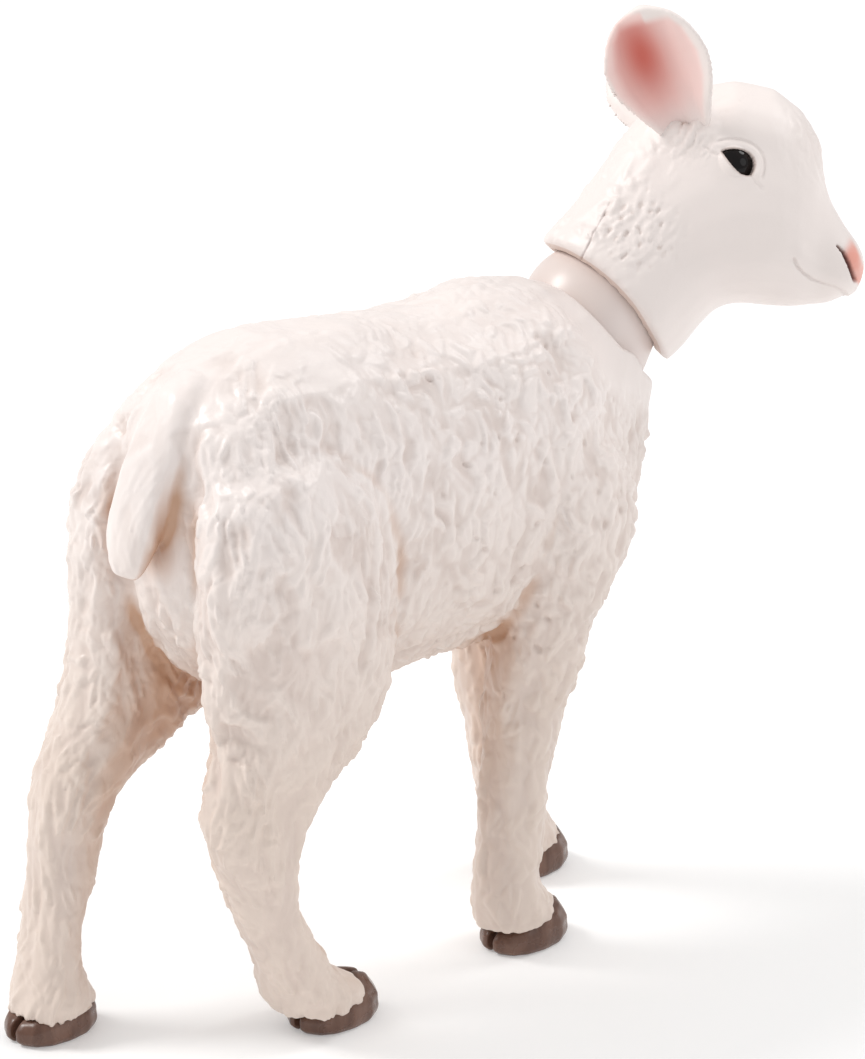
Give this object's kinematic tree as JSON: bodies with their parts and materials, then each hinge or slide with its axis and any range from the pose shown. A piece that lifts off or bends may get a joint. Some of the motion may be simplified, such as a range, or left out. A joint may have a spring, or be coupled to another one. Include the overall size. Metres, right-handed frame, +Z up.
{
  "type": "toy farm animal figure",
  "caption": "Standing toy lamb with a hollow fleece-textured body, cloven hooves and a head that turns and nods on a slotted neck dome.",
  "frame": {"origin": "middle of the bounding box, on the plane that the four hooves stand on", "axes": "+X to the lamb's front, +Y to its left, +Z up"},
  "size_m": [0.2074, 0.0788, 0.2087],
  "materials": {
    "fleece": "satin moulded wool texture",
    "neck_skin": "smooth satin",
    "ear": "satin, sprayed pink inside",
    "hoof": "glossy brown paint",
    "eye": "polished black",
    "link": "plain moulded",
    "pin_steel": "drawn wire"
  },
  "bodies": {
    "body": {"body_shell_left": "fleece", "body_shell_right": "fleece", "leg_rear_left": "fleece", "leg_rear_right": "fleece", "leg_front_left": "fleece", "leg_front_right": "fleece", "hoof_rear_left": "hoof", "hoof_rear_right": "hoof", "hoof_front_left": "hoof", "hoof_front_right": "hoof", "tail": "fleece"},
    "neck": {"neck_half_left": "neck_skin", "neck_half_right": "neck_skin", "nod_pin": "pin_steel"},
    "head": {"face_shell": "fleece", "nape_shell": "fleece", "head_tongue": "link", "ear_left": "ear", "ear_right": "ear", "eye_left": "eye", "eye_right": "eye"}
  },
  "joints": [
    {"name": "neck_turn", "type": "hinge", "parent": "body", "child": "neck", "pos_m": [0.04926, 0.00487, 0.13468], "axis": [0.515, 0, 0.8572], "range_deg": [-20, 120]},
    {"name": "head_nod", "type": "hinge", "parent": "neck", "child": "head", "pos_m": [0.0508, 0.00487, 0.13725], "axis": [-0.6566, -0.6428, 0.3945], "range_deg": [-6, 20]}
  ]
}
